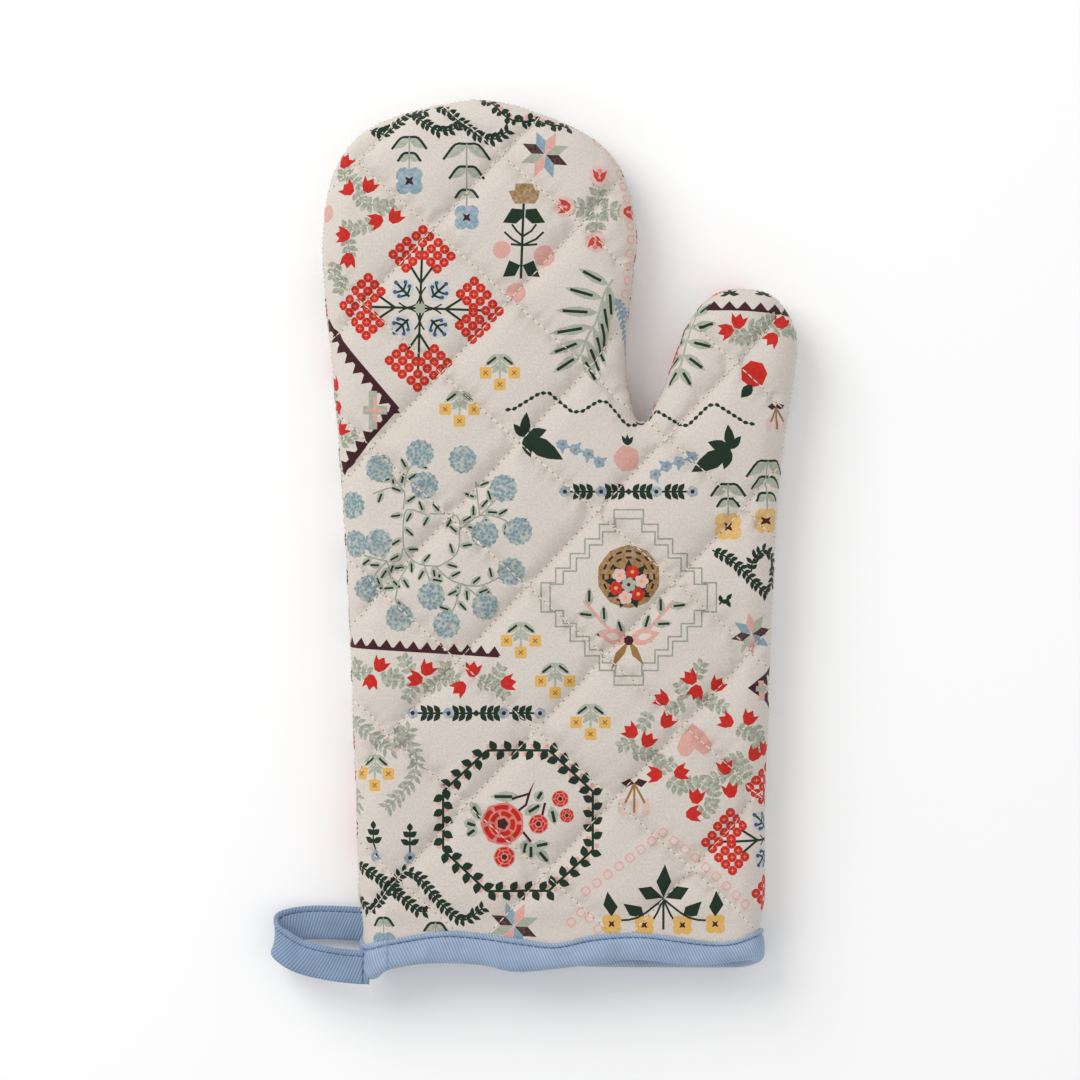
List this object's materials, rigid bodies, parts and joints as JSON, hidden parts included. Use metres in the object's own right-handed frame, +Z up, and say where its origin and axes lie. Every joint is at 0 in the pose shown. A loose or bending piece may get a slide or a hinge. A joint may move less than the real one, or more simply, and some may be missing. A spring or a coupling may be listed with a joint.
{
  "type": "quilted oven mitt",
  "caption": "Quilted cotton oven mitt with a thumb, printed cover, wadding, lining, twill-bound cuff and side hanging loop.",
  "frame": {"origin": "centre of the bounding box in X and Y, at the flat underside of the back panel", "axes": "+X towards the thumb, +Y from the cuff to the fingertips, +Z up from the back panel to the front panel"},
  "size_m": [0.1993, 0.3349, 0.0285],
  "materials": {
    "front_cover_hand": "printed cotton, quilted in a diamond grid",
    "front_cover_fingers": "printed cotton, quilted in a diamond grid",
    "front_cover_thumb": "printed cotton, quilted in a diamond grid",
    "front_batting_hand": "needled wadding",
    "front_batting_fingers": "needled wadding",
    "front_batting_thumb": "needled wadding",
    "front_lining_hand": "plain woven cotton",
    "front_lining_fingers": "plain woven cotton",
    "front_lining_thumb": "plain woven cotton",
    "back_cover_hand": "printed cotton, quilted in a diamond grid",
    "back_cover_fingers": "printed cotton, quilted in a diamond grid",
    "back_cover_thumb": "printed cotton, quilted in a diamond grid",
    "back_batting_hand": "needled wadding",
    "back_batting_fingers": "needled wadding",
    "back_batting_thumb": "needled wadding",
    "back_lining_hand": "plain woven cotton",
    "back_lining_fingers": "plain woven cotton",
    "back_lining_thumb": "plain woven cotton",
    "cuff_binding": "cotton twill bias tape",
    "cuff_topstitch": "polyester sewing thread",
    "hanging_loop": "folded cotton twill tape"
  },
  "bodies": {
    "hand": {"front_cover_hand": "front_cover_hand", "front_batting_hand": "front_batting_hand", "front_lining_hand": "front_lining_hand", "back_cover_hand": "back_cover_hand", "back_batting_hand": "back_batting_hand", "back_lining_hand": "back_lining_hand", "cuff_binding": "cuff_binding", "cuff_topstitch": "cuff_topstitch"},
    "fingers": {"front_cover_fingers": "front_cover_fingers", "front_batting_fingers": "front_batting_fingers", "front_lining_fingers": "front_lining_fingers", "back_cover_fingers": "back_cover_fingers", "back_batting_fingers": "back_batting_fingers", "back_lining_fingers": "back_lining_fingers"},
    "thumb": {"front_cover_thumb": "front_cover_thumb", "front_batting_thumb": "front_batting_thumb", "front_lining_thumb": "front_lining_thumb", "back_cover_thumb": "back_cover_thumb", "back_batting_thumb": "back_batting_thumb", "back_lining_thumb": "back_lining_thumb"},
    "loop": {"hanging_loop": "hanging_loop"}
  },
  "joints": [
    {"name": "finger_fold", "type": "hinge", "parent": "hand", "child": "fingers", "pos_m": [-0.022, 0.078, 0.013], "axis": [1, 0, 0], "range_deg": [0, 50]},
    {"name": "thumb_fold", "type": "hinge", "parent": "hand", "child": "thumb", "pos_m": [0.07, 0.047, 0.013], "axis": [0.9781, -0.2079, 0], "range_deg": [0, 45]},
    {"name": "loop_swing", "type": "hinge", "parent": "hand", "child": "loop", "pos_m": [-0.0675, -0.153, 0.0187], "axis": [0, 1, 0], "range_deg": [0, 50]}
  ]
}
